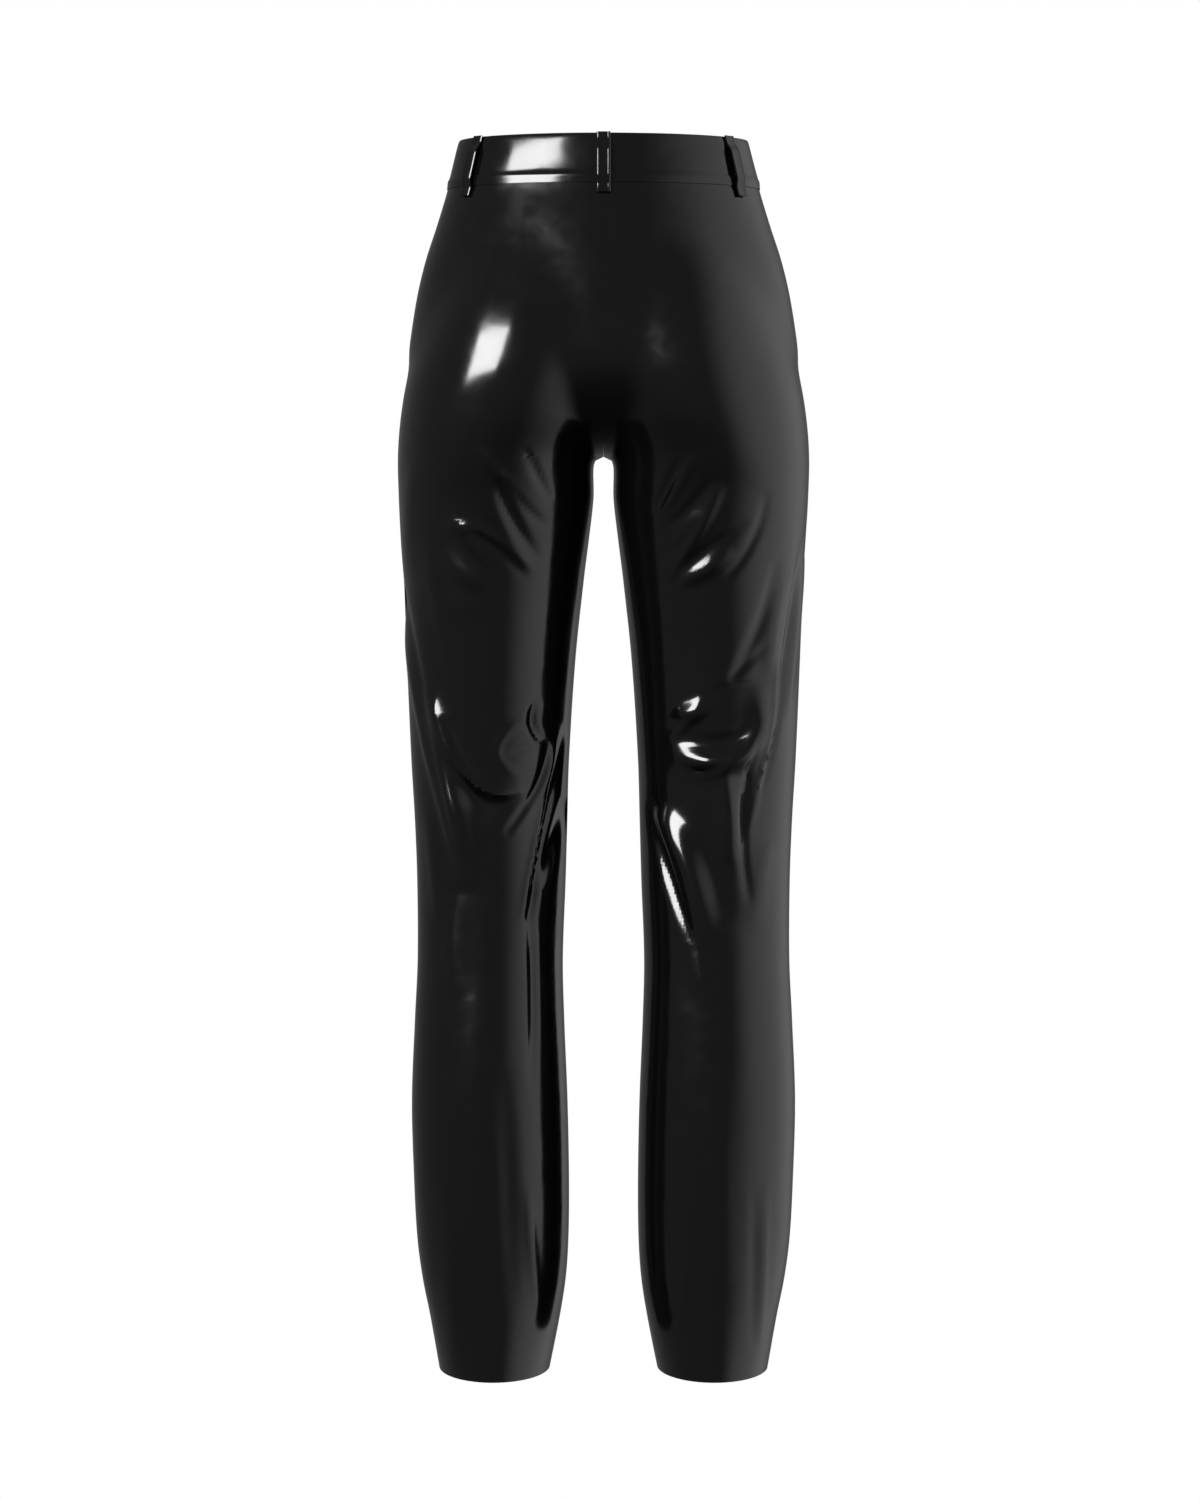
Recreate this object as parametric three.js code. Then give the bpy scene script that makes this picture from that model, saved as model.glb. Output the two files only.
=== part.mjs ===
// Latex trousers for a slim adult, filled out as they are when worn: a high waistband with five belt
// loops, a fitted seat, two straight legs cut full length, and a fly that closes with one button.
// Millimetres, +Z up. The wearer's front faces -Y and the wearer's left is +X. The origin is the
// centre of the waist opening, halfway up the waistband, where the wearer's waist holds the garment.

import * as THREE from "three";

// Driving sizes.
const SEAM_GAP = 0.3; // between pieces that meet
const LAID_GAP = 0.6; // between a piece and the faceted wall that it lies on
const PANEL_WALL = 1.2;
const BAND_HEIGHT = 41;
const BAND_WALL = 2;
const BAND_LAP = 18; // how far each end of the waistband runs past the centre front
const LOOP = { width: 11.5, wall: 1.6, above: 0.4, below: 9, standoff: 3.5, glued: 7, rows: 12 };
const LOOP_ANGLES = [90, 23, 157, -48, -132]; // round from the wearer's left; 90 is the centre back
const LOOP_NAMES = ["back", "side_left", "side_right", "front_left", "front_right"];
const FLY = { width: 38, length: 128, straight: 0.62, rows: 12, columns: 4 }; // straight for this share
const BUTTON = { radius: 8.5, height: 4, foot: 5.5 };
const FORK_Z = -150; // where the rise seam starts to curve under
const FORK_DEPTH = 96; // from there to the crotch
const FORK_BLEND = 13.5; // how softly the seat and the legs run into each other
const HEM_Z = -1028;
const HEM_DIP = 2; // how much lower the hem hangs at the back than at its sides

// Level sections of the waist and seat: half the width, and the reach to the front and the back.
const SEAT = [
  { z: 22, side: 121.5, front: -86, back: 84 },
  { z: -20.5, side: 132.5, front: -94, back: 92 },
  { z: -52, side: 142, front: -101, back: 101 },
  { z: -78, side: 150.5, front: -105, back: 108 },
  { z: -104, side: 157, front: -107, back: 114 },
  { z: -129, side: 161.5, front: -108, back: 118 },
  { z: -155, side: 165, front: -107, back: 121 },
  { z: -191, side: 169, front: -105, back: 121 },
];

// Level sections of the left leg, with the seams' reach to the back. It runs up inside the seat and
// rounds it out at the back.
const LEG = [
  { z: 22, inner: 30, outer: 84, front: -30, back: 55, seam: 4 },
  { z: -20, inner: 18, outer: 98, front: -38, back: 70, seam: 5 },
  { z: -60, inner: 2, outer: 114, front: -45, back: 87, seam: 6 },
  { z: -90, inner: -10, outer: 130, front: -58, back: 103, seam: 7 },
  { z: -120, inner: -20, outer: 144, front: -70, back: 116, seam: 8 },
  { z: -150, inner: -25, outer: 156, front: -82, back: 124, seam: 8 },
  { z: -180, inner: -22, outer: 166, front: -91, back: 126, seam: 8 },
  { z: -212, inner: -9, outer: 172, front: -97, back: 121, seam: 8 },
  { z: -246, inner: 7, outer: 175, front: -99, back: 110, seam: 8 },
  { z: -283, inner: 8.5, outer: 174.5, front: -98, back: 97, seam: 6 },
  { z: -317, inner: 12.4, outer: 172.7, front: -96, back: 88, seam: 4 },
  { z: -351, inner: 16.7, outer: 170.7, front: -94, back: 81, seam: 1 },
  { z: -420, inner: 24, outer: 168.4, front: -90, back: 71, seam: -3 },
  { z: -505, inner: 29.5, outer: 165, front: -84, back: 63, seam: -5 },
  { z: -557, inner: 31, outer: 162, front: -80, back: 61, seam: -5 },
  { z: -608, inner: 32.4, outer: 160, front: -74, back: 62, seam: -3 },
  { z: -676, inner: 34.8, outer: 159.5, front: -66, back: 67, seam: 0 },
  { z: -727, inner: 33.6, outer: 161.7, front: -61, back: 73, seam: 3 },
  { z: -796, inner: 30.8, outer: 164.3, front: -58, back: 78, seam: 5 },
  { z: -864, inner: 29.5, outer: 162.6, front: -57, back: 78, seam: 5 },
  { z: -915, inner: 30, outer: 160, front: -57, back: 75, seam: 4 },
  { z: -950, inner: 32.3, outer: 155.6, front: -58, back: 73, seam: 3 },
  { z: -984, inner: 37.5, outer: 149, front: -60, back: 71, seam: 3 },
  { z: -1040, inner: 48.5, outer: 139.5, front: -64, back: 68, seam: 2 },
];

// The largest folds at the back, as ridges from a high end to a low one. Bow is how far the middle
// swings towards +X.
const FOLDS = [
  { side: 1, topX: 150, topZ: -445, lowX: 112, lowZ: -600, bow: -10, width: 13, height: 5 },
  { side: 1, topX: 46, topZ: -486, lowX: 74, lowZ: -590, bow: -8, width: 11, height: 3.5 },
  { side: 1, topX: 90, topZ: -262, lowX: 52, lowZ: -340, bow: 0, width: 12, height: 3.5 },
  { side: 1, topX: 134, topZ: -310, lowX: 64, lowZ: -372, bow: -6, width: 13, height: 3.5 },
  { side: -1, topX: -132, topZ: -440, lowX: -70, lowZ: -520, bow: -18, width: 12, height: 5 },
  { side: -1, topX: -54, topZ: -555, lowX: -97, lowZ: -655, bow: 0, width: 13, height: 4 },
  { side: -1, topX: -92, topZ: -278, lowX: -62, lowZ: -345, bow: 0, width: 12, height: 3.5 },
  { side: -1, topX: -136, topZ: -350, lowX: -104, lowZ: -450, bow: 6, width: 13, height: 3.5 },
];

// How the rows of the leg's grid are spaced, from the crotch down.
const LEG_STEPS = [
  { to: -262, step: 7 },
  { to: -370, step: 20 },
  { to: -660, step: 24 },
  { to: HEM_Z, step: 52 },
];
const SEAT_ROWS = 7;
const FORK_ROWS = 6;
const FRONT_COLUMNS = 10;
const BACK_COLUMNS = 13;
const RAYS = 44; // traced from the middle of a leg to each half of a section
const BAND_COLUMNS = 60;

const { PI, abs, atan2, cos, exp, hypot, max, min, sin, sqrt } = Math;
const { degToRad, lerp, smoothstep } = THREE.MathUtils;

// A column of a table at height z, smooth from row to row and level past its ends.
function read(table, name, z) {
  const last = table.length - 1;
  if (z >= table[0].z) return table[0][name];
  if (z <= table[last].z) return table[last][name];
  const i = table.findIndex((row) => row.z < z) - 1;
  const slope = (a, b) => (table[b][name] - table[a][name]) / (table[b].z - table[a].z);
  const span = table[i + 1].z - table[i].z;
  const t = (z - table[i].z) / span;
  const start = slope(max(i - 1, 0), i + 1) * span;
  const end = slope(i, min(i + 2, last)) * span;
  const [t2, t3] = [t * t, t * t * t];
  const rise = 3 * t2 - 2 * t3;
  return lerp(table[i][name], table[i + 1][name], rise) + (t3 - 2 * t2 + t) * start + (t3 - t2) * end;
}

// Ovals as a centre and two half sizes.
function legOval(z) {
  const [inner, outer, front, back] = ["inner", "outer", "front", "back"].map((name) => read(LEG, name, z));
  return { x: (inner + outer) / 2, y: (front + back) / 2, a: (outer - inner) / 2, b: (back - front) / 2 };
}

function seatOval(z) {
  const [side, front, back] = ["side", "front", "back"].map((name) => read(SEAT, name, z));
  return { x: 0, y: (front + back) / 2, a: side, b: (back - front) / 2 };
}

// Roughly how far a point lies outside an oval; under is how far down the oval's bowl it lies, as a
// share of the bowl's depth.
function beyond(oval, x, y, under) {
  const dx = (x - oval.x) / oval.a;
  const dy = (y - oval.y) / oval.b;
  const r = hypot(dx, dy, under);
  return (r * (r - 1)) / max(hypot(dx / oval.a, dy / oval.b, under / FORK_DEPTH), 1e-6);
}

// The smaller of two distances, rounded where they are close.
function softMin(p, q) {
  const close = max(FORK_BLEND - abs(p - q), 0) / FORK_BLEND;
  return min(p, q) - (close ** 3 * FORK_BLEND) / 6;
}

// The level section at height z, as a function that says how far a point lies outside it. The form
// is two legs joined by the bowl of the seat.
function section(z) {
  const leg = legOval(z);
  const seat = seatOval(z);
  const under = max(FORK_Z - z, 0) / FORK_DEPTH;
  return (x, y) => {
    const legs = softMin(beyond(leg, x, y, 0), beyond(leg, -x, y, 0));
    return softMin(legs, beyond(seat, x, y, under));
  };
}

// Moves a copy of a point of the form straight out from it.
function lift(p, distance) {
  const step = 0.05;
  const level = section(p.z);
  const normal = new THREE.Vector3(
    level(p.x + step, p.y) - level(p.x - step, p.y),
    level(p.x, p.y + step) - level(p.x, p.y - step),
    section(p.z + step)(p.x, p.y) - section(p.z - step)(p.x, p.y),
  );
  return p.clone().addScaledVector(normal.normalize(), distance);
}

// How far along a ray from inside a section its edge lies, but no further than limit.
function reach(level, x, y, angle, limit = 300) {
  let [near, far] = [0, limit];
  for (let i = 0; i < 26; i++) {
    const middle = (near + far) / 2;
    if (level(x + middle * cos(angle), y + middle * sin(angle)) < 0) near = middle;
    else far = middle;
  }
  return near;
}

function lowestPoint() {
  let [inside, outside] = [FORK_Z, FORK_Z - 2 * FORK_DEPTH];
  for (let i = 0; i < 30; i++) {
    const middle = (inside + outside) / 2;
    if (section(middle)(0, read(LEG, "seam", middle)) < 0) inside = middle;
    else outside = middle;
  }
  return inside;
}

const CROTCH_Z = lowestPoint();

// Half of the left side's section at height z, from the rise seam or the inseam to the side seam.
// Way is -1 for the front half and 1 for the back half.
function halfSection(z, way) {
  const level = section(z);
  const x = legOval(z).x;
  const y = read(LEG, "seam", z);
  const rise = z > CROTCH_Z ? reach(level, 0, y, (way * PI) / 2) : 0;
  const end = way * atan2(rise, -x);
  const points = [];
  for (let i = 0; i <= RAYS; i++) {
    const angle = end * (1 - i / RAYS);
    const limit = cos(angle) < 0 ? x / -cos(angle) : 300;
    const distance = reach(level, x, y, angle, limit);
    points.push(new THREE.Vector3(x + distance * cos(angle), y + distance * sin(angle), z));
  }
  return points;
}

// Points at even steps along a line of points, half a seam gap in from its ends.
function evenly(points, columns) {
  const runs = [0];
  for (let i = 1; i < points.length; i++) runs.push(runs[i - 1] + points[i].distanceTo(points[i - 1]));
  const total = runs[runs.length - 1];
  const even = [];
  for (let j = 0; j <= columns; j++) {
    const run = lerp(SEAM_GAP / 2, total - SEAM_GAP / 2, j / columns);
    const i = max(1, runs.findIndex((length) => length >= run));
    even.push(points[i - 1].clone().lerp(points[i], (run - runs[i - 1]) / (runs[i] - runs[i - 1])));
  }
  return even;
}

function rowHeights() {
  const heights = [];
  const top = -BAND_HEIGHT / 2 - SEAM_GAP;
  for (let i = 0; i < SEAT_ROWS; i++) heights.push(lerp(top, FORK_Z, i / SEAT_ROWS));
  for (let i = 0; i <= FORK_ROWS; i++) heights.push(lerp(FORK_Z, CROTCH_Z, sin((PI * i) / 2 / FORK_ROWS)));
  for (const { to, step } of LEG_STEPS) {
    const from = heights[heights.length - 1];
    const count = Math.round((from - to) / step);
    for (let i = 1; i <= count; i++) heights.push(lerp(from, to, i / count));
  }
  return heights;
}

function foldHeight(p) {
  let total = 0;
  for (const fold of FOLDS) {
    const [alongX, alongZ] = [fold.lowX - fold.topX, fold.lowZ - fold.topZ];
    const length = hypot(alongX, alongZ);
    const t = ((p.x - fold.topX) * alongX + (p.z - fold.topZ) * alongZ) / length ** 2;
    if (t <= 0 || t >= 1 || fold.side * p.x < 0) continue;
    const away = ((p.z - fold.topZ) * alongX - (p.x - fold.topX) * alongZ) / length;
    const ridge = (away - fold.bow * 4 * t * (1 - t)) / fold.width;
    total += fold.height * sin(PI * t) * exp(-ridge * ridge);
  }
  return total;
}

// A closed wall between a grid of outer points and the same grid of inner points. Rows run down and
// columns run round, so that a piece seen from outside has its next column on the right. Each cell
// is split along its shorter diagonal, on both layers alike.
function wall(outer, inner) {
  const [down, across] = [outer.length - 1, outer[0].length - 1];
  const at = (i, j, layer) => (layer * (down + 1) + i) * (across + 1) + j;
  const faces = [];
  const quad = (a, b, c, d) => faces.push(a, b, c, a, c, d);
  for (let i = 0; i < down; i++) {
    for (let j = 0; j < across; j++) {
      const corners = [[i, j], [i + 1, j], [i + 1, j + 1], [i, j + 1]];
      const falling = outer[i][j].distanceTo(outer[i + 1][j + 1]);
      const rising = outer[i + 1][j].distanceTo(outer[i][j + 1]);
      if (rising < falling) corners.unshift(corners.pop());
      quad(...corners.map(([row, column]) => at(row, column, 0)));
      const [first, ...others] = corners.map(([row, column]) => at(row, column, 1));
      quad(first, ...others.reverse());
    }
    quad(at(i, 0, 0), at(i, 0, 1), at(i + 1, 0, 1), at(i + 1, 0, 0));
    quad(at(i, across, 0), at(i + 1, across, 0), at(i + 1, across, 1), at(i, across, 1));
  }
  for (let j = 0; j < across; j++) {
    quad(at(0, j, 0), at(0, j + 1, 0), at(0, j + 1, 1), at(0, j, 1));
    quad(at(down, j, 0), at(down, j, 1), at(down, j + 1, 1), at(down, j + 1, 0));
  }
  const geometry = new THREE.BufferGeometry();
  const points = [...outer, ...inner].flat().flatMap((p) => [p.x, p.y, p.z]);
  geometry.setAttribute("position", new THREE.Float32BufferAttribute(points, 3));
  geometry.setIndex(faces);
  return geometry;
}

const trousers = new THREE.Group();
const latex = new THREE.MeshStandardMaterial({ color: 0x0b0b0c, roughness: 0.12, metalness: 0 });
const steel = new THREE.MeshStandardMaterial({ color: 0x8f9194, roughness: 0.3, metalness: 1 });

function add(name, geometry, material = latex) {
  const mesh = new THREE.Mesh(geometry, material);
  mesh.name = name;
  trousers.add(mesh);
  return mesh;
}

// A front or back panel: side is 1 for the wearer's left and -1 for the right, way is -1 for front.
function addPanel(name, side, way) {
  const columns = way < 0 ? FRONT_COLUMNS : BACK_COLUMNS;
  const [outer, inner] = [[], []];
  for (const z of rowHeights()) {
    const row = evenly(halfSection(z, way), columns);
    if (side * way > 0) row.reverse();
    const place = (p, distance) => {
      const fold = way > 0 ? foldHeight(new THREE.Vector3(p.x * side, p.y, p.z)) : 0;
      const placed = lift(p, distance + fold);
      const hem = smoothstep(-p.z, -HEM_Z - 120, -HEM_Z);
      placed.set(side * (placed.x + SEAM_GAP / 2), placed.y, placed.z - (hem * HEM_DIP * p.y) / 66);
      return placed;
    };
    outer.push(row.map((p) => place(p, 0)));
    inner.push(row.map((p) => place(p, -PANEL_WALL)));
  }
  add(name, wall(outer, inner));
}

for (const [name, side] of [["left", 1], ["right", -1]]) {
  addPanel(`front_${name}`, side, -1);
  addPanel(`back_${name}`, side, 1);
}

// A point of the waist, at an angle round from the wearer's left.
function waistPoint(angle, z) {
  const distance = reach(section(z), 0, 0, angle);
  return new THREE.Vector3(distance * cos(angle), distance * sin(angle), z);
}

// The band runs from its under end at the front, round the back, to its upper end on top of the other.
function addBand() {
  const lap = BAND_LAP / abs(waistPoint(-PI / 2, 0).y);
  const start = -PI / 2 - lap;
  const [outer, inner] = [[], []];
  for (const z of [BAND_HEIGHT / 2, 0, -BAND_HEIGHT / 2]) {
    const [outerRow, innerRow] = [[], []];
    for (let j = 0; j <= BAND_COLUMNS; j++) {
      const turn = (2 * PI + 2 * lap) * (j / BAND_COLUMNS);
      const over = smoothstep(turn, 2 * PI - lap, 2 * PI) * (BAND_WALL + SEAM_GAP);
      const p = waistPoint(start + turn, z);
      outerRow.push(lift(p, over));
      innerRow.push(lift(p, over - BAND_WALL));
    }
    outer.push(outerRow);
    inner.push(innerRow);
  }
  add("waistband", wall(outer, inner));
}

// A loop is glued down over the top of the band and below its seam, and stands off between them.
function addLoop(name, angle) {
  const [top, low] = [BAND_HEIGHT / 2 + LOOP.above, -BAND_HEIGHT / 2 - LOOP.below];
  const [outer, inner] = [[], []];
  for (let i = 0; i <= LOOP.rows; i++) {
    const z = lerp(top, low, i / LOOP.rows);
    const p = waistPoint(angle, z);
    const off = LAID_GAP + LOOP.standoff * smoothstep(min(top - z, z - low), LOOP.glued, LOOP.glued + 9);
    const out = lift(p, 1).sub(p);
    const along = new THREE.Vector3(-out.y, out.x, 0).setLength(LOOP.width / 2);
    const across = (distance) => {
      const middle = p.clone().addScaledVector(out, distance);
      return [middle.clone().sub(along), middle.clone().add(along)];
    };
    outer.push(across(off + LOOP.wall));
    inner.push(across(off));
  }
  add(name, wall(outer, inner));
}

// The fly's facing lies on the left front beside the centre front, and ends in a curve at its foot.
function addFly() {
  const top = -BAND_HEIGHT / 2 - 2 * SEAM_GAP;
  const [outer, inner] = [[], []];
  for (let i = 0; i <= FLY.rows; i++) {
    const share = i / FLY.rows;
    const z = top - FLY.length * share;
    const curve = max(share - FLY.straight, 0) / (1 - FLY.straight);
    const width = max(FLY.width * sqrt(1 - curve * curve), FLY.width / 6);
    const level = section(z);
    const row = [];
    for (let j = 0; j <= FLY.columns; j++) {
      const x = (width * j) / FLY.columns;
      row.push(new THREE.Vector3(x, -reach(level, x, 0, -PI / 2), z));
    }
    const place = (distance) => row.map((p) => lift(p, distance).add(new THREE.Vector3(SEAM_GAP / 2, 0, 0)));
    outer.push(place(LAID_GAP + PANEL_WALL));
    inner.push(place(LAID_GAP));
  }
  add("fly", wall(outer, inner));
}

function addButton() {
  const profile = [
    [0, 0],
    [BUTTON.foot, 0],
    [BUTTON.foot, BUTTON.height * 0.35],
    [BUTTON.radius, BUTTON.height * 0.45],
    [BUTTON.radius, BUTTON.height * 0.7],
    [BUTTON.radius * 0.8, BUTTON.height * 0.95],
    [0, BUTTON.height],
  ].map(([radius, height]) => new THREE.Vector2(radius, height));
  const button = add("waistband_button", new THREE.LatheGeometry(profile, 24), steel);
  const p = waistPoint(-PI / 2, 0);
  const out = lift(p, 1).sub(p);
  button.quaternion.setFromUnitVectors(new THREE.Vector3(0, 1, 0), out);
  button.position.copy(p).addScaledVector(out, BAND_WALL + LAID_GAP);
}

addBand();
LOOP_NAMES.forEach((name, i) => addLoop(`belt_loop_${name}`, degToRad(LOOP_ANGLES[i])));
addFly();
addButton();

export default trousers;
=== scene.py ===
# Latex trousers, filled out as they are when worn: four glued panels, a waistband that laps at the
# front, five belt loops, a fly and one button. Sizes below are millimetres, as in the part's own
# source, and each mesh is made in metres in the part's frame: +Z up, the wearer's front to -Y.

from math import cos, pi, radians, sin

import bmesh
import bpy
import numpy as np
from mathutils import Matrix, Vector


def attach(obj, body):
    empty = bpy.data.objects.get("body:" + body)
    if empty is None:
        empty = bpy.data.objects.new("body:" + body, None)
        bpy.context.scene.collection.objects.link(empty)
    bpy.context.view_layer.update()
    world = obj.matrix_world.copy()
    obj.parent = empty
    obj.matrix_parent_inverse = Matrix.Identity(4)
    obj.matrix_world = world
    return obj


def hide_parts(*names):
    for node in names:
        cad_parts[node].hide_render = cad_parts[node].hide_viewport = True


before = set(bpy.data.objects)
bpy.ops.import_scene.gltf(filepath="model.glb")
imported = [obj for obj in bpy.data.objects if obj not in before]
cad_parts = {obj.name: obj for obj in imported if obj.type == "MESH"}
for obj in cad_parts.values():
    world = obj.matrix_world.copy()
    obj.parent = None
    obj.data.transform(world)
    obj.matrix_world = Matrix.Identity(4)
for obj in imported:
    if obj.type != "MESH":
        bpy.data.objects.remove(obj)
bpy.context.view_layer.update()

MM = 0.001

# The form, as the part's source has it, but for the seam gap: a glued seam shows as a hairline.
SEAM_GAP = 0.04
BAND_HEIGHT = 41.0
BAND_LAP = 18.0
FORK_Z = -150.0
FORK_DEPTH = 96.0
FORK_BLEND = 13.5
HEM_Z = -1028.0
HEM_DIP = 2.0

SEAT_COLUMNS = ("z", "side", "front", "back")
SEAT = (
    (22, 121.5, -86, 84),
    (-20.5, 132.5, -94, 92),
    (-52, 142, -101, 101),
    (-78, 150.5, -105, 108),
    (-104, 157, -107, 114),
    (-129, 161.5, -108, 118),
    (-155, 165, -107, 121),
    (-191, 169, -105, 121),
)

LEG_COLUMNS = ("z", "inner", "outer", "front", "back", "seam")
LEG = (
    (22, 30, 84, -30, 55, 4),
    (-20, 18, 98, -38, 70, 5),
    (-60, 2, 114, -45, 87, 6),
    (-90, -10, 130, -58, 103, 7),
    (-120, -20, 144, -70, 116, 8),
    (-150, -25, 156, -82, 124, 8),
    (-180, -22, 166, -91, 126, 8),
    (-212, -9, 172, -97, 121, 8),
    (-246, 7, 175, -99, 110, 8),
    (-283, 8.5, 174.5, -98, 97, 6),
    (-317, 12.4, 172.7, -96, 88, 4),
    (-351, 16.7, 170.7, -94, 81, 1),
    (-420, 24, 168.4, -90, 71, -3),
    (-505, 29.5, 165, -84, 63, -5),
    (-557, 31, 162, -80, 61, -5),
    (-608, 32.4, 160, -74, 62, -3),
    (-676, 34.8, 159.5, -66, 67, 0),
    (-727, 33.6, 161.7, -61, 73, 3),
    (-796, 30.8, 164.3, -58, 78, 5),
    (-864, 29.5, 162.6, -57, 78, 5),
    (-915, 30, 160, -57, 75, 4),
    (-950, 32.3, 155.6, -58, 73, 3),
    (-984, 37.5, 149, -60, 71, 3),
    (-1040, 48.5, 139.5, -64, 68, 2),
)

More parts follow.
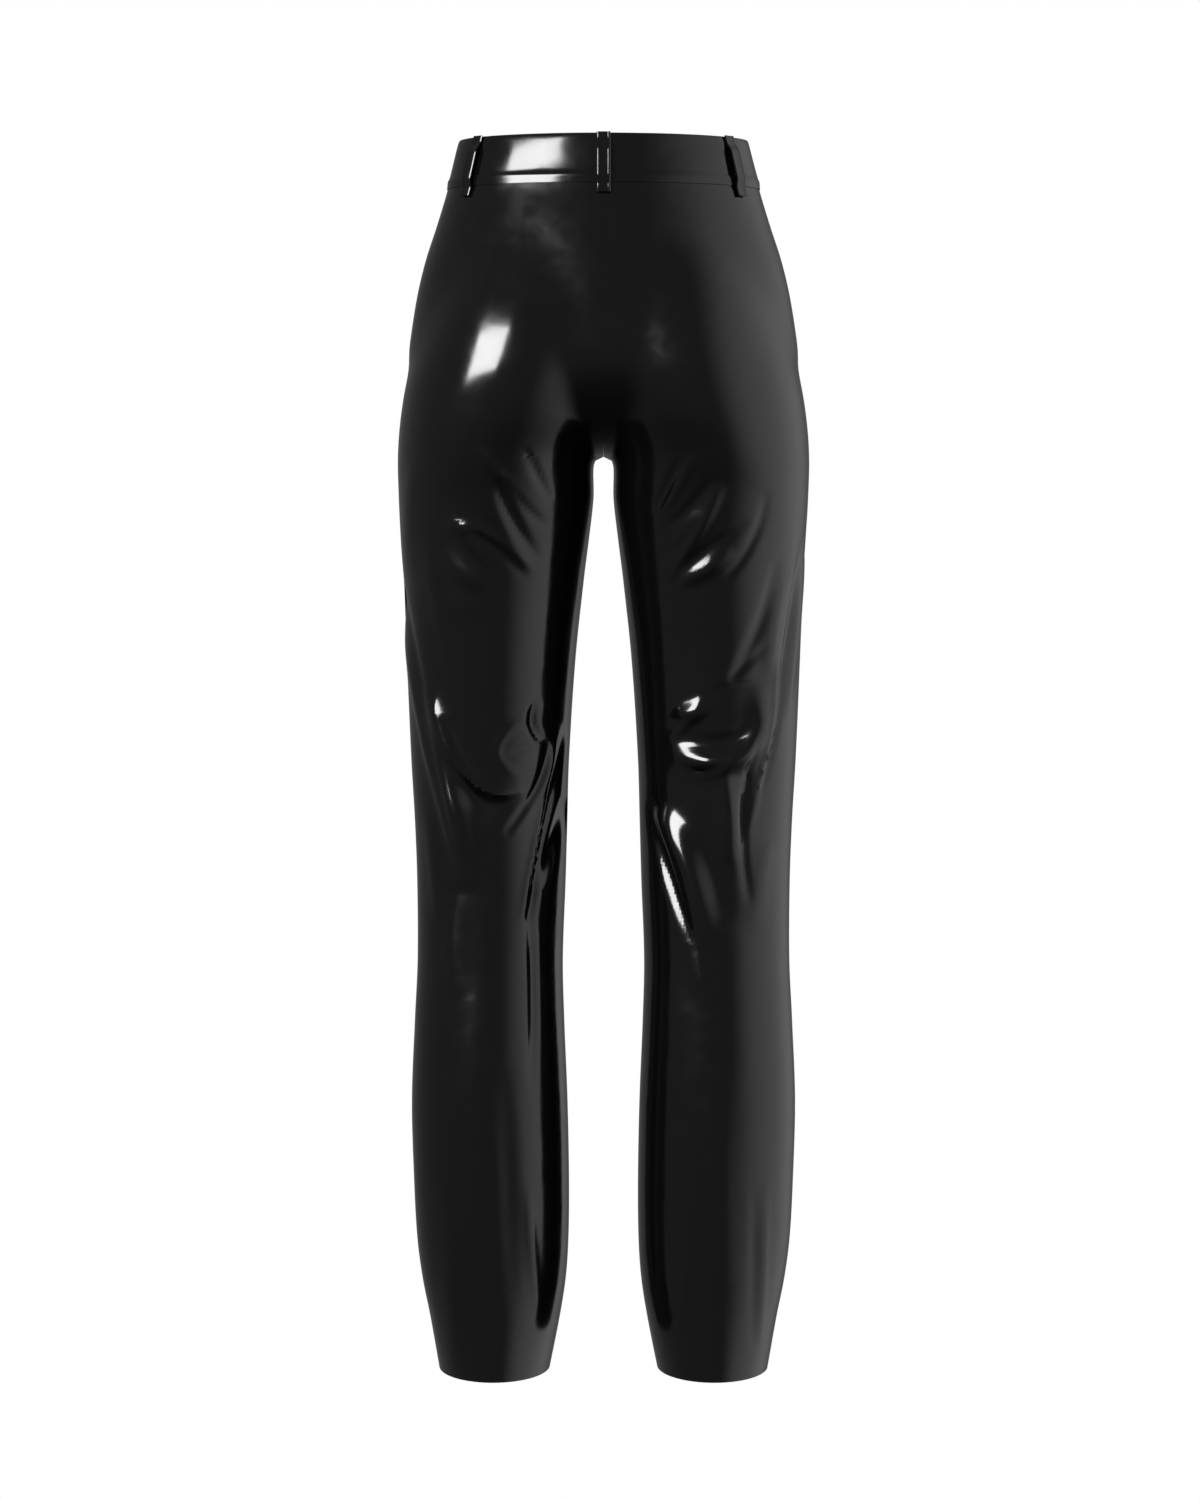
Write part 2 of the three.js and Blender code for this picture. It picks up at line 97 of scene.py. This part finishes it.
# Creases, each a soft ridge, or a trough where its height is below zero. It runs from a top point
# through a middle one to a low one, in the plane that the wearer's back or front faces.
CREASE_COLUMNS = ("top_x", "top_z", "mid_x", "mid_z", "low_x", "low_z", "width", "height")
CREASES = {
    ("back", "left"): (
        # Under the seat, running up and out from the inner thigh.
        (64, -241, 54, -265, 44, -284, 2.6, -1.8),
        (85, -265, 78, -294, 53, -334, 3.2, -2.4),
        (85, -265, 69, -285, 48, -306, 3.0, -2.0),
        (104, -238, 84, -268, 56, -298, 4.0, 1.6),
        (103, -242, 90, -296, 58, -343, 5.0, 2.2),
        (131, -301, 116, -310, 98, -341, 5.0, 3.4),
        (120, -306, 98, -311, 60, -344, 3.2, 1.8),
        (118, -312, 92, -322, 62, -350, 3.4, -1.6),
        (137, -326, 117, -345, 99, -355, 8.5, 3.2),
        (136, -356, 120, -369, 104, -376, 12.0, 1.6),
        (147, -318, 132, -405, 95, -522, 6.0, 1.6),
        # Behind the knee.
        (143, -448, 112, -519, 67, -526, 3.7, 5.6),
        (149, -440, 127, -532, 113, -612, 10.0, 8.4),
        (136, -466, 112, -533, 68, -534, 8.8, -5.3),
        (55, -452, 60, -472, 47, -490, 3.1, -2.8),
        (47, -486, 55, -525, 84, -566, 3.3, -3.2),
        (44, -484, 50, -520, 79, -566, 3.3, 2.2),
        (63, -466, 90, -494, 66, -518, 3.5, 1.8),
        (81, -497, 68, -493, 53, -489, 2.9, -1.2),
        (32, -472, 50, -566, 64, -640, 3.7, -5.0),
        (37, -478, 55, -566, 68, -640, 3.3, 2.2),
        (64, -628, 60, -690, 61, -780, 3.3, -1.8),
        (32, -536, 44, -580, 56, -616, 6.2, -4.7),
        # The outer side of the leg.
        (172, -352, 150, -460, 121, -590, 2.8, -3.0),
        (167, -380, 146, -480, 126, -570, 2.8, 2.2),
        (174, -372, 160, -450, 143, -520, 3.0, 1.8),
        (154, -480, 140, -532, 122, -592, 3.4, 1.4),
        (150, -545, 143, -600, 139, -640, 6.0, 2.0),
        (119, -610, 127, -660, 122, -702, 8.0, 2.4),
        (157, -250, 165, -300, 166, -352, 7.0, 1.4),
        # The calf and the hem.
        (63, -862, 61, -910, 56, -968, 3.4, 1.2),
        (130, -850, 129, -940, 126, -1024, 8.0, 1.6),
        (84, -760, 80, -860, 76, -968, 9.0, -1.4),
        (112, -700, 108, -780, 110, -860, 12.0, 1.0),
    ),
    ("back", "right"): (
        # Under the seat, running up and out from the inner thigh.
        (-63, -249, -54, -271, -44, -294, 2.6, -2.0),
        (-73, -247, -60, -276, -47, -294, 3.0, 1.6),
        (-92, -264, -70, -292, -47, -311, 3.2, -1.6),
        (-96, -270, -80, -308, -54, -350, 5.0, 4.6),
        (-80, -292, -70, -306, -58, -322, 3.6, 2.0),
        (-123, -303, -92, -321, -64, -344, 2.8, -1.6),
        (-106, -324, -85, -342, -62, -352, 6.0, 3.2),
        (-136, -276, -126, -315, -99, -352, 3.6, -2.4),
        (-145, -332, -132, -386, -106, -437, 5.0, -2.8),
        (-142, -402, -124, -418, -104, -434, 3.4, -1.8),
        (-152, -352, -142, -400, -140, -440, 6.0, 2.2),
        # Behind the knee.
        (-136, -440, -112, -440, -88, -446, 3.1, -2.0),
        (-85, -450, -73, -462, -60, -459, 6.2, 4.7),
        (-93, -455, -73, -470, -52, -487, 3.1, 2.0),
        (-133, -436, -116, -498, -54, -494, 10.0, 9.3),
        (-63, -503, -82, -511, -104, -502, 2.4, -2.0),
        (-128, -462, -106, -486, -62, -484, 6.2, -3.2),
        (-98, -508, -105, -544, -106, -590, 9.4, 6.8),
        (-44, -545, -70, -590, -87, -660, 11.2, 8.1),
        (-38, -536, -54, -596, -76, -655, 4.4, -5.0),
        (-84, -540, -92, -590, -104, -640, 10.0, -2.2),
        (-77, -655, -80, -680, -90, -710, 7.5, 2.2),
        # The outer side of the leg.
        (-148, -418, -138, -490, -122, -566, 2.8, 2.4),
        (-153, -418, -145, -480, -130, -536, 2.6, -2.4),
        (-132, -474, -118, -545, -124, -625, 3.2, -2.8),
        (-169, -312, -158, -386, -146, -456, 2.8, -2.6),
        (-172, -330, -163, -400, -156, -470, 3.0, 2.2),
        (-141, -570, -134, -600, -130, -650, 7.0, 1.6),
        # The calf and the hem.
        (-73, -874, -70, -925, -64, -984, 4.0, 1.3),
        (-137, -855, -136, -930, -133, -1005, 3.4, 1.2),
        (-127, -860, -127, -930, -126, -1000, 3.2, -0.9),
        (-96, -760, -98, -860, -100, -950, 11.0, 1.2),
    ),
    ("front", "left"): (
        (20, -212, 48, -196, 84, -172, 4.0, 1.8),
        (24, -226, 62, -218, 104, -202, 3.4, -1.6),
        (22, -244, 60, -246, 108, -240, 5.0, 2.2),
        (30, -262, 66, -276, 116, -284, 4.0, -1.8),
        (26, -280, 58, -304, 98, -330, 5.0, 2.0),
        (150, -300, 138, -350, 116, -400, 6.0, 1.8),
        (40, -496, 80, -522, 126, -512, 5.0, 2.4),
        (42, -528, 84, -548, 134, -534, 4.0, -1.8),
        (50, -566, 92, -580, 142, -572, 6.0, 1.8),
        (158, -420, 150, -520, 152, -610, 5.0, 1.6),
        (92, -690, 96, -790, 92, -900, 10.0, 1.2),
        (62, -840, 66, -920, 70, -1005, 5.0, 1.0),
    ),
    ("front", "right"): (
        (-18, -214, -50, -200, -92, -178, 4.0, 1.9),
        (-24, -230, -58, -224, -98, -210, 3.4, -1.6),
        (-22, -248, -64, -248, -112, -236, 5.0, 2.0),
        (-28, -266, -62, -282, -108, -296, 4.0, -1.8),
        (-26, -286, -60, -312, -104, -326, 5.0, 1.8),
        (-152, -318, -140, -368, -122, -420, 6.0, 1.8),
        (-38, -488, -76, -510, -122, -506, 5.0, 2.2),
        (-42, -520, -86, -540, -132, -524, 4.0, -1.8),
        (-48, -556, -88, -574, -138, -560, 6.0, 2.0),
        (-159, -440, -151, -530, -150, -600, 5.0, 1.6),
        (-94, -700, -98, -800, -95, -905, 10.0, 1.2),
        (-128, -850, -126, -930, -124, -1010, 5.0, 1.0),
    ),
}


def column(names, rows, name):
    return np.array([row[names.index(name)] for row in rows], dtype=float)


def smooth_read(names, rows, name):
    """A column of a table as a function of height: smooth from row to row, level past its ends."""
    heights = -column(names, rows, "z")
    values = column(names, rows, name)
    slopes = np.gradient(values)
    slopes[1:-1] = (values[2:] - values[:-2]) / (heights[2:] - heights[:-2])
    slopes[0] = (values[1] - values[0]) / (heights[1] - heights[0])
    slopes[-1] = (values[-1] - values[-2]) / (heights[-1] - heights[-2])

    def read(z):
        h = min(max(-z, heights[0]), heights[-1])
        i = min(max(int(np.searchsorted(heights, h)) - 1, 0), len(heights) - 2)
        span = heights[i + 1] - heights[i]
        t = (h - heights[i]) / span
        rise = t * t * (3 - 2 * t)
        bend = (t**3 - 2 * t * t + t) * slopes[i] + (t**3 - t * t) * slopes[i + 1]
        return values[i] + rise * (values[i + 1] - values[i]) + bend * span

    return read


seat_at = {name: smooth_read(SEAT_COLUMNS, SEAT, name) for name in SEAT_COLUMNS[1:]}
leg_at = {name: smooth_read(LEG_COLUMNS, LEG, name) for name in LEG_COLUMNS[1:]}


def smoothstep(value, low, high):
    t = np.clip((value - low) / (high - low), 0, 1)
    return t * t * (3 - 2 * t)


def beyond(x, y, centre_x, centre_y, a, b, under=0.0):
    """Roughly how far points lie outside an oval; under is how far down its bowl they lie."""
    dx = (x - centre_x) / a
    dy = (y - centre_y) / b
    r = np.sqrt(dx * dx + dy * dy + under * under)
    steepness = np.sqrt((dx / a) ** 2 + (dy / b) ** 2 + (under / FORK_DEPTH) ** 2)
    return r * (r - 1) / np.maximum(steepness, 1e-6)


def soft_min(p, q):
    close = np.maximum(FORK_BLEND - np.abs(p - q), 0) / FORK_BLEND
    return np.minimum(p, q) - close**3 * FORK_BLEND / 6


def section(z):
    """The form's level section, as a function that says how far outside it points lie."""
    inner, outer, front, back = (leg_at[name](z) for name in ("inner", "outer", "front", "back"))
    side, seat_front, seat_back = (seat_at[name](z) for name in ("side", "front", "back"))
    under = max(FORK_Z - z, 0) / FORK_DEPTH

    def outside(x, y):
        leg_x, leg_y, a, b = (inner + outer) / 2, (front + back) / 2, (outer - inner) / 2, (back - front) / 2
        legs = soft_min(beyond(x, y, leg_x, leg_y, a, b), beyond(-x, y, leg_x, leg_y, a, b))
        seat = beyond(x, y, 0, (seat_front + seat_back) / 2, side, (seat_back - seat_front) / 2, under)
        return soft_min(legs, seat)

    return outside


def reach(outside, x, y, along_x, along_y, limit=300.0):
    """How far along rays from inside a section its edge lies, but no further than limit."""
    near = np.zeros_like(along_x)
    far = near + limit
    for _ in range(24):
        middle = (near + far) / 2
        inside = outside(x + middle * along_x, y + middle * along_y) < 0
        near = np.where(inside, middle, near)
        far = np.where(inside, far, middle)
    return near


def normals(points, z):
    """The form's outward normals at points of one level section."""
    step = 0.05
    x, y = points[:, 0], points[:, 1]
    level = section(z)
    slope = np.stack(
        [
            level(x + step, y) - level(x - step, y),
            level(x, y + step) - level(x, y - step),
            section(z + step)(x, y) - section(z - step)(x, y),
        ],
        axis=1,
    )
    return slope / np.linalg.norm(slope, axis=1, keepdims=True)


def lowest_point():
    inside, outside = FORK_Z, FORK_Z - 2 * FORK_DEPTH
    for _ in range(30):
        middle = (inside + outside) / 2
        if section(middle)(0.0, leg_at["seam"](middle)) < 0:
            inside = middle
        else:
            outside = middle
    return inside


CROTCH_Z = lowest_point()
RAYS = 120


def half_section(z, way):
    """Half of the left side's section, from the rise seam or inseam to the side seam."""
    outside = section(z)
    x = (leg_at["inner"](z) + leg_at["outer"](z)) / 2
    y = leg_at["seam"](z)
    rise = 0.0
    if z > CROTCH_Z:
        rise = float(reach(outside, 0.0, y, np.zeros(1), np.full(1, float(way)))[0])
    angles = way * np.arctan2(rise, -x) * np.linspace(1, 0, RAYS + 1)
    along_x, along_y = np.cos(angles), np.sin(angles)
    limit = np.where(along_x < -1e-9, x / np.maximum(-along_x, 1e-9), 300.0)
    distance = reach(outside, x, y, along_x, along_y, limit)
    return np.stack([x + distance * along_x, y + distance * along_y], axis=1)


def evenly(points, columns):
    """Points at even steps along a line of points, half a seam gap in from its ends."""
    runs = np.concatenate([[0], np.cumsum(np.linalg.norm(np.diff(points, axis=0), axis=1))])
    stops = np.linspace(SEAM_GAP / 2, runs[-1] - SEAM_GAP / 2, columns + 1)
    return np.stack([np.interp(stops, runs, points[:, k]) for k in range(2)], axis=1)


ROW_STEP = 3.3
FORK_ROWS = 26


def row_heights():
    top = -BAND_HEIGHT / 2 - SEAM_GAP
    seat = np.linspace(top, FORK_Z, round((top - FORK_Z) / ROW_STEP), endpoint=False)
    turn = np.sin(np.linspace(0, pi / 2, FORK_ROWS, endpoint=False))
    fork = FORK_Z + (CROTCH_Z - FORK_Z) * turn
    leg = np.linspace(CROTCH_Z, HEM_Z, round((CROTCH_Z - HEM_Z) / ROW_STEP))
    return np.concatenate([seat, fork, leg])


def trace_half(way, columns):
    """Points and normals of the left side's front (-1) or back (1) half, row by row."""
    points, outward = [], []
    for z in row_heights():
        row = evenly(half_section(z, way), columns)
        points.append(np.column_stack([row, np.full(columns + 1, z)]))
        outward.append(normals(row, z))
    return np.array(points), np.array(outward)


def crease_height(x, z, creases):
    """How far the creases lift points out, by their place in the plane of the back or front."""
    total = np.zeros_like(x)
    steps = np.linspace(0, 1, 25)
    for top_x, top_z, mid_x, mid_z, low_x, low_z, width, height in creases:
        bend_x = 2 * mid_x - (top_x + low_x) / 2
        bend_z = 2 * mid_z - (top_z + low_z) / 2
        path_x = (1 - steps) ** 2 * top_x + 2 * steps * (1 - steps) * bend_x + steps**2 * low_x
        path_z = (1 - steps) ** 2 * top_z + 2 * steps * (1 - steps) * bend_z + steps**2 * low_z
        margin = 3 * width
        near = (x > path_x.min() - margin) & (x < path_x.max() + margin)
        near &= (z > path_z.min() - margin) & (z < path_z.max() + margin)
        px, pz = x[near], z[near]
        best = np.full(px.shape, 1e9)
        place = np.zeros(px.shape)
        for k in range(len(steps) - 1):
            ax, az = path_x[k], path_z[k]
            bx, bz = path_x[k + 1] - ax, path_z[k + 1] - az
            t = np.clip(((px - ax) * bx + (pz - az) * bz) / (bx * bx + bz * bz), 0, 1)
            away = np.hypot(px - ax - t * bx, pz - az - t * bz)
            closer = away < best
            best = np.where(closer, away, best)
            place = np.where(closer, steps[k] + t * (steps[1] - steps[0]), place)
        fade = np.sin(pi * np.clip(place, 0, 1)) ** 0.7
        total[near] += height * fade * np.exp(-((best / width) ** 2))
    return total


def grid_piece(name, points, thickness):
    """A closed shell of this thickness under a grid of outer points, given in millimetres."""
    rows, columns = points.shape[0] - 1, points.shape[1] - 1
    bm = bmesh.new()
    bmesh.ops.create_grid(bm, x_segments=columns, y_segments=rows, size=1, calc_uvs=True)
    corners = np.array([vert.co[:2] for vert in bm.verts])
    across = np.rint((corners[:, 0] + 1) / 2 * columns).astype(int)
    down = np.rint((1 - corners[:, 1]) / 2 * rows).astype(int)
    for vert, place in zip(bm.verts, points[down, across] * MM):
        vert.co = place
    bm.normal_update()
    bmesh.ops.solidify(bm, geom=bm.faces[:], thickness=thickness * MM)
    return finish_mesh(name, bm)


def finish_mesh(name, bm, sharp=40):
    mesh = bpy.data.meshes.new(name)
    bm.to_mesh(mesh)
    bm.free()
    mesh.shade_smooth()
    mesh.set_sharp_from_angle(angle=radians(sharp))
    piece = bpy.data.objects.new(name, mesh)
    bpy.context.scene.collection.objects.link(piece)
    return piece


# The panels.
SHEET = 0.9
BACK_GRID = 76
FRONT_GRID = 62
halves = {-1: trace_half(-1, FRONT_GRID), 1: trace_half(1, BACK_GRID)}


def panel_points(side, way):
    points, outward = halves[way]
    points, outward = points.copy(), outward.copy()
    for grid in (points, outward):
        grid[..., 0] *= side
    points[..., 0] += side * SEAM_GAP / 2
    creases = CREASES["front" if way < 0 else "back", "left" if side > 0 else "right"]
    points += outward * crease_height(points[..., 0], points[..., 2], creases)[..., None]
    hem = smoothstep(-points[..., 2], -HEM_Z - 120, -HEM_Z)
    points[..., 2] -= hem * HEM_DIP * points[..., 1] / 66
    if side * way > 0:
        points = points[:, ::-1]
    return points


def settle(piece, node):
    """A piece that stands for one CAD node and rides with it."""
    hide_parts(node)
    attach(piece, "root")
    return piece


pieces = {}


def cloth(name, points, thickness):
    piece = settle(grid_piece(name + "_sheet", points, thickness), name)
    pieces[name] = piece
    return piece


for way, place in ((-1, "front"), (1, "back")):
    for side, hand in ((1, "left"), (-1, "right")):
        cloth(f"{place}_{hand}", panel_points(side, way), SHEET)


# The waist: everything on it is placed by an angle round from the wearer's left and a height.
def waist_point(angle, z):
    along_x, along_y = np.full(1, cos(angle)), np.full(1, sin(angle))
    distance = reach(section(z), 0.0, 0.0, along_x, along_y)
    point = np.array([distance[0] * cos(angle), distance[0] * sin(angle), z])
    return point, normals(point[None, :2], z)[0]


def waist_ring(angles, z):
    along_x, along_y = np.cos(angles), np.sin(angles)
    distance = reach(section(z), 0.0, 0.0, along_x, along_y)
    points = np.stack([distance * along_x, distance * along_y, np.full_like(angles, z)], axis=1)
    return points, normals(points, z)


BAND_SHEET = 1.4
BAND_PROUD = 1.1


def band_points():
    lap = BAND_LAP / 90
    start = -pi / 2 - lap
    turns = np.linspace(0, 2 * pi + 2 * lap, 420)
    rows = []
    for share in np.linspace(0, 1, 25):
        z = BAND_HEIGHT / 2 - share * BAND_HEIGHT
        ring, outward = waist_ring(start + turns, z)
        over = smoothstep(turns, 2 * pi - lap, 2 * pi) * (BAND_SHEET + 0.5)
        wave = 0.35 * np.sin(3 * turns + 0.6) + 0.25 * np.sin(7 * turns + 4 * share + 1.1)
        roll = BAND_PROUD - 0.5 * (2 * share - 1) ** 16
        hem = 0.7 * np.exp(-(((z + 14.5) / 2.2) ** 2))
        lift = over + roll + hem + 0.7 * wave * np.sin(pi * share)
        rows.append(ring + outward * lift[:, None])
    return np.array(rows)


cloth("waistband", band_points(), BAND_SHEET)

LOOP_WIDTH = 11.5
LOOP_SHEET = 1.3
LOOPS = (("back", 90), ("side_left", 23), ("side_right", 157), ("front_left", -48), ("front_right", -132))


def loop_points(angle):
    top, low = BAND_HEIGHT / 2 + 0.4, -BAND_HEIGHT / 2 - 9
    rows = []
    for z in np.linspace(top, low, 42):
        point, outward = waist_point(radians(angle), z)
        along = np.array([-outward[1], outward[0], 0])
        along /= np.linalg.norm(along)
        stand = smoothstep(min(top - z, z - low), 5, 15)
        off = BAND_PROUD + 0.4 + LOOP_SHEET + 3.2 * stand
        row = []
        for across in np.linspace(-1, 1, 17):
            fold = 0.45 * np.exp(-(((abs(across) - 0.8) / 0.12) ** 2)) - 0.5 * abs(across) ** 12
            sideways = along * across * LOOP_WIDTH / 2
            row.append(point + sideways + outward * (off + fold))
        rows.append(row)
    return np.array(rows)


for place, angle in LOOPS:
    cloth(f"belt_loop_{place}", loop_points(angle), LOOP_SHEET)

FLY_WIDTH = 38
FLY_LENGTH = 127
FLY_STRAIGHT = 0.62


def fly_points():
    top = -BAND_HEIGHT / 2 - 0.8
    rows = []
    for share in np.linspace(0, 1, 48):
        z = top - FLY_LENGTH * share
        curve = max(share - FLY_STRAIGHT, 0) / (1 - FLY_STRAIGHT)
        width = max(FLY_WIDTH * (1 - curve * curve) ** 0.5, 4)
        x = np.linspace(0.2, width, 22)
        y = -reach(section(z), x, 0.0, np.zeros_like(x), np.full_like(x, -1.0))
        points = np.stack([x, y, np.full_like(x, z)], axis=1)
        edge = 0.5 * np.linspace(0, 1, 22) ** 10
        rows.append(points + normals(points, z) * (1.5 - edge)[:, None])
    return np.array(rows)


cloth("fly", fly_points(), 0.9)


# Half the button's outline, as radius and height above the band: foot, rim and dome.
BUTTON_PROFILE = (
    (0, 0),
    (5.5, 0),
    (5.5, 1.2),
    (8.0, 1.6),
    (8.5, 2.1),
    (8.4, 2.9),
    (7.8, 3.3),
    (7.2, 3.2),
    (6.6, 2.9),
    (4.5, 3.3),
    (2.2, 3.55),
    (0, 3.6),
)


def button():
    """A shank button: a domed cap with a raised rim on a short foot."""
    cad = np.array([vert.co[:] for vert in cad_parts["waistband_button"].data.vertices])
    point, outward = waist_point(-pi / 2, 0)
    start = (cad @ outward).min()
    height = (cad @ outward).max() - start
    bm = bmesh.new()
    verts = [bm.verts.new((radius * MM, 0, up * MM)) for radius, up in BUTTON_PROFILE]
    edges = [bm.edges.new(pair) for pair in zip(verts, verts[1:])]
    bmesh.ops.spin(
        bm,
        geom=verts + edges,
        axis=(0, 0, 1),
        cent=(0, 0, 0),
        angle=2 * pi,
        steps=64,
        use_merge=True,
    )
    bmesh.ops.remove_doubles(bm, verts=bm.verts, dist=1e-6)
    bmesh.ops.recalc_face_normals(bm, faces=bm.faces)
    turn = Vector((0, 0, 1)).rotation_difference(Vector(outward)).to_matrix().to_4x4()
    foot = Vector(point * MM) + Vector(outward) * (start - float(point @ outward) * MM)
    bmesh.ops.transform(bm, matrix=Matrix.Translation(foot) @ turn, verts=bm.verts)
    pieces["waistband_button"] = settle(finish_mesh("button_cap", bm, 30), "waistband_button")


button()


# Materials.
def linear(colour):
    """An sRGB hex colour as linear red, green, blue and alpha."""
    parts = [int(colour[i : i + 2], 16) / 255 for i in (1, 3, 5)]
    return [c / 12.92 if c <= 0.04045 else ((c + 0.055) / 1.055) ** 2.4 for c in parts] + [1.0]


def add_node(tree, kind, settings=(), values=(), links=()):
    """A node with its settings, its unlinked values and the links that feed it."""
    node = tree.nodes.new(kind)
    for name, value in dict(settings).items():
        setattr(node, name, value)
    for name, value in dict(values).items():
        node.inputs[name].default_value = value
    for name, source in dict(links).items():
        tree.links.new(source, node.inputs[name])
    return node


def new_material(name):
    material = bpy.data.materials.new(name)
    material.use_nodes = True
    tree = material.node_tree
    return material, tree, tree.nodes["Principled BSDF"]


def noise(tree, spacing, detail):
    """Soft noise whose lumps are about this many metres apart, on the piece's own coordinates."""
    place = add_node(tree, "ShaderNodeTexCoord").outputs["Object"]
    values = {"Scale": 1 / spacing, "Detail": detail}
    return add_node(tree, "ShaderNodeTexNoise", values=values, links={"Vector": place}).outputs["Fac"]


SWELL_SPACING = 0.045
SMEAR_SPACING = 0.02
SCRATCH_SPACING = 0.0008


def polished_latex():
    """Dipped and shined latex sheet: near black, with a liquid gloss that only slightly spreads."""
    material, tree, shader = new_material("polished_latex_sheet")
    # The sheet is never quite flat: swells bend its reflections, and polish is left in smears.
    swell = noise(tree, SWELL_SPACING, 2.0)
    smear = noise(tree, SMEAR_SPACING, 4.0)
    gloss = add_node(
        tree,
        "ShaderNodeMapRange",
        values={"From Min": 0.35, "From Max": 0.65, "To Min": 0.12, "To Max": 0.17},
        links={"Value": smear},
    )
    bump = add_node(
        tree,
        "ShaderNodeBump",
        values={"Strength": 0.12, "Distance": 0.004},
        links={"Height": swell},
    )
    shader.inputs["Base Color"].default_value = linear("#060607")
    shader.inputs["IOR"].default_value = 1.5
    tree.links.new(gloss.outputs["Result"], shader.inputs["Roughness"])
    tree.links.new(bump.outputs["Normal"], shader.inputs["Normal"])
    return material


def satin_steel():
    """Stamped and tumbled steel: soft reflections with fine scratches."""
    material, tree, shader = new_material("tumbled_steel")
    gloss = add_node(
        tree,
        "ShaderNodeMapRange",
        values={"To Min": 0.22, "To Max": 0.42},
        links={"Value": noise(tree, SCRATCH_SPACING, 3.0)},
    )
    shader.inputs["Base Color"].default_value = linear("#9b9da1")
    shader.inputs["Metallic"].default_value = 1.0
    tree.links.new(gloss.outputs["Result"], shader.inputs["Roughness"])
    return material


latex = polished_latex()
steel = satin_steel()
for name, piece in pieces.items():
    piece.data.materials.append(steel if name == "waistband_button" else latex)


# The studio: a plain pale floor below the hems, seen by the camera but kept out of the gloss.
FLOOR_Z = -1.35
FLOOR_REACH = 30.0


def studio_floor():
    material, tree, shader = new_material("pale_paper")
    tree.nodes.remove(shader)
    glow = add_node(tree, "ShaderNodeEmission", values={"Color": linear("#ffffff"), "Strength": 1.0})
    tree.links.new(glow.outputs["Emission"], tree.nodes["Material Output"].inputs["Surface"])
    bm = bmesh.new()
    bmesh.ops.create_grid(bm, x_segments=1, y_segments=1, size=FLOOR_REACH)
    bmesh.ops.translate(bm, vec=(0, 0, FLOOR_Z), verts=bm.verts)
    floor = finish_mesh("floor", bm)
    floor.data.materials.append(material)
    for ray in ("visible_glossy", "visible_diffuse", "visible_shadow", "visible_transmission"):
        setattr(floor, ray, False)


def soft_box(name, place, aim, size, power):
    light = bpy.data.lights.new(name, "AREA")
    light.shape = "RECTANGLE"
    light.size, light.size_y = size
    light.energy = power
    lamp = bpy.data.objects.new(name, light)
    lamp.location = place
    lamp.rotation_euler = (Vector(aim) - Vector(place)).to_track_quat("-Z", "Y").to_euler()
    bpy.context.scene.collection.objects.link(lamp)


def room():
    world = bpy.data.worlds.new("room")
    world.use_nodes = True
    tree = world.node_tree
    background = tree.nodes["Background"]
    # Dim walls, darker towards the ground, with one pale wall to the wearer's right.
    way = add_node(tree, "ShaderNodeTexCoord").outputs["Generated"]
    axes = add_node(tree, "ShaderNodeSeparateXYZ", links={"Vector": way}).outputs
    height = add_node(
        tree,
        "ShaderNodeMapRange",
        settings={"interpolation_type": "SMOOTHSTEP"},
        values={"From Min": -1.0, "From Max": -0.3, "To Min": 0.03, "To Max": 0.16},
        links={"Value": axes["Z"]},
    )
    pale = add_node(
        tree,
        "ShaderNodeMapRange",
        settings={"interpolation_type": "SMOOTHSTEP"},
        values={"From Min": -0.3, "From Max": -1.05, "To Min": 0.0, "To Max": 6.0},
        links={"Value": axes["X"]},
    )
    lit = add_node(
        tree,
        "ShaderNodeMath",
        settings={"operation": "MULTIPLY_ADD"},
        links={0: height.outputs["Result"], 1: pale.outputs["Result"], 2: height.outputs["Result"]},
    )
    path = add_node(tree, "ShaderNodeLightPath")
    shade = add_node(
        tree,
        "ShaderNodeMix",
        settings={"data_type": "RGBA"},
        links={"Factor": path.outputs["Is Camera Ray"], "A": lit.outputs["Value"]},
    )
    shade.inputs["B"].default_value = (1, 1, 1, 1)
    tree.links.new(shade.outputs["Result"], background.inputs["Color"])
    bpy.context.scene.world = world


studio_floor()
room()
KEY_PLACE = (1.85, 2.1, 0.72)  # high up behind the wearer, to the wearer's left
KEY_AIM = (0, 0, -0.5)
KEY_SIZE = (1.7, 1.25)
KEY_POWER = 150
soft_box("key_box", KEY_PLACE, KEY_AIM, KEY_SIZE, KEY_POWER)
bpy.context.scene.view_settings.view_transform = "Standard"

# The camera stands 3.6 m behind the wearer, a little above the middle of the garment.
CAMERA_DISTANCE = 3.6
FRAME_HEIGHT = 1.2825
camera = bpy.data.objects.new("camera", bpy.data.cameras.new("camera"))
camera.data.sensor_fit = "VERTICAL"
camera.data.sensor_height = 36
camera.data.sensor_width = 28.8
camera.data.lens = 36 * CAMERA_DISTANCE / FRAME_HEIGHT
camera.location = (0.003, CAMERA_DISTANCE, -0.3)
target = Vector((0.003, 0, -0.497))
camera.rotation_euler = (target - camera.location).to_track_quat("-Z", "Y").to_euler()
bpy.context.scene.collection.objects.link(camera)
bpy.context.scene.camera = camera
